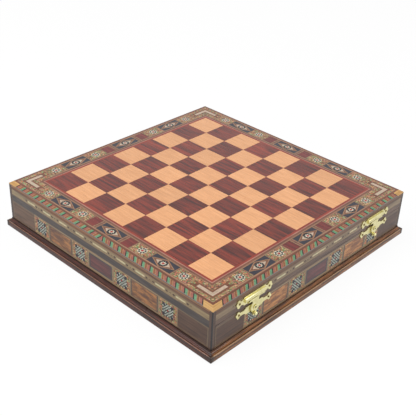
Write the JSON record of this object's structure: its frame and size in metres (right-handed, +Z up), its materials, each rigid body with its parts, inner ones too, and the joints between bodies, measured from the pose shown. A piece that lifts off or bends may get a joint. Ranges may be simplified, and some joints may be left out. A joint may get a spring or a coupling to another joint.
{
  "type": "chess box with drawers",
  "caption": "Square marquetry chess box on a moulded base: inlaid playing field and star border on top, two opposite drawers with velvet compartments, brass hook clasps.",
  "frame": {"origin": "centre of the underside of the base, on the surface that the box stands on", "axes": "+Z up, +X along the front drawer's face to the right as seen from the front, +Y from the front drawer to the back drawer"},
  "size_m": [0.39, 0.3904, 0.0705],
  "materials": {
    "plain_wood": "bare plywood, satin",
    "mahogany": "stained and lacquered",
    "walnut_case": "lacquered walnut",
    "light_veneer": "gloss lacquer",
    "rosewood": "gloss lacquer",
    "red_line": "gloss lacquer",
    "mosaic_ground": "gloss lacquer over mosaic",
    "pale_line": "lacquered boxwood line",
    "lozenge_wood": "lacquered",
    "night_veneer": "dyed veneer, lacquered",
    "star_mosaic": "black and white mosaic",
    "tile_wood": "gloss lacquer",
    "pearl": "mother-of-pearl inlay",
    "rope_mosaic": "striped mosaic edging",
    "maple": "lacquered",
    "ebony": "lacquered",
    "olive_strip": "lacquered",
    "dark_band": "dyed veneer, lacquered",
    "burl": "burl veneer, lacquered",
    "middle_veneer": "rosewood veneer, lacquered",
    "drawer_front_wood": "dyed veneer, lacquered",
    "drawer_wood": "bare wood, satin",
    "velvet": "deep red velvet",
    "brass": "polished",
    "nail_brass": "aged"
  },
  "bodies": {
    "root": {"bottom_board": "plain_wood", "base_moulding": "mahogany", "side_wall_left": "walnut_case", "side_wall_right": "walnut_case", "top_rails": "walnut_case", "middle_wall": "plain_wood", "drawer_kickers": "plain_wood", "top_board": "plain_wood", "light_squares": "light_veneer", "dark_squares": "rosewood", "field_line_frame": "red_line", "border_ground": "mosaic_ground", "border_lines": "pale_line", "border_lozenges": "lozenge_wood", "border_triangles": "night_veneer", "border_stars": "star_mosaic", "border_tiles": "tile_wood", "corner_pearl_bars": "pearl", "rope_edging": "rope_mosaic", "bevel_corner_blocks": "maple", "corner_posts": "ebony", "pearl_strips": "olive_strip", "side_pearl_bars": "pearl", "dark_bands": "dark_band", "wall_panel_lines": "pale_line", "wall_star_panels": "star_mosaic", "wall_veneer_panels": "burl", "wall_middle_panels": "middle_veneer", "keepers": "brass", "keeper_nails": "nail_brass"},
    "front_drawer": {"front_drawer_face": "drawer_front_wood", "front_drawer_sides": "drawer_wood", "front_drawer_back": "drawer_wood", "front_drawer_bottom": "drawer_wood", "front_drawer_boards": "drawer_wood", "front_drawer_pads": "velvet", "front_panel_lines": "pale_line", "front_star_panels": "star_mosaic", "front_veneer_panels": "burl", "front_middle_panel": "middle_veneer", "front_clasp_plates": "brass", "front_clasp_rivets": "brass", "front_clasp_nails": "nail_brass"},
    "back_drawer": {"back_drawer_face": "drawer_front_wood", "back_drawer_sides": "drawer_wood", "back_drawer_back": "drawer_wood", "back_drawer_bottom": "drawer_wood", "back_drawer_boards": "drawer_wood", "back_drawer_pads": "velvet", "back_panel_lines": "pale_line", "back_star_panels": "star_mosaic", "back_veneer_panels": "burl", "back_middle_panel": "middle_veneer", "back_clasp_plates": "brass", "back_clasp_rivets": "brass", "back_clasp_nails": "nail_brass"},
    "front_hook_left": {"front_hook_left": "brass"},
    "front_hook_right": {"front_hook_right": "brass"},
    "back_hook_left": {"back_hook_left": "brass"},
    "back_hook_right": {"back_hook_right": "brass"}
  },
  "joints": [
    {"name": "front_drawer_slide", "type": "slide", "parent": "root", "child": "front_drawer", "axis": [0, -1, 0], "range_m": [0, 0.166]},
    {"name": "front_hook_left_turn", "type": "hinge", "parent": "front_drawer", "child": "front_hook_left", "pos_m": [-0.121, -0.189, 0.0392], "axis": [0, -1, 0], "range_deg": [0, 80]},
    {"name": "front_hook_right_turn", "type": "hinge", "parent": "front_drawer", "child": "front_hook_right", "pos_m": [0.121, -0.189, 0.0392], "axis": [0, -1, 0], "range_deg": [0, 80]},
    {"name": "back_drawer_slide", "type": "slide", "parent": "root", "child": "back_drawer", "axis": [0, 1, 0], "range_m": [0, 0.166]},
    {"name": "back_hook_left_turn", "type": "hinge", "parent": "back_drawer", "child": "back_hook_left", "pos_m": [0.121, 0.189, 0.0392], "axis": [0, 1, 0], "range_deg": [0, 80]},
    {"name": "back_hook_right_turn", "type": "hinge", "parent": "back_drawer", "child": "back_hook_right", "pos_m": [-0.121, 0.189, 0.0392], "axis": [0, 1, 0], "range_deg": [0, 80]}
  ]
}
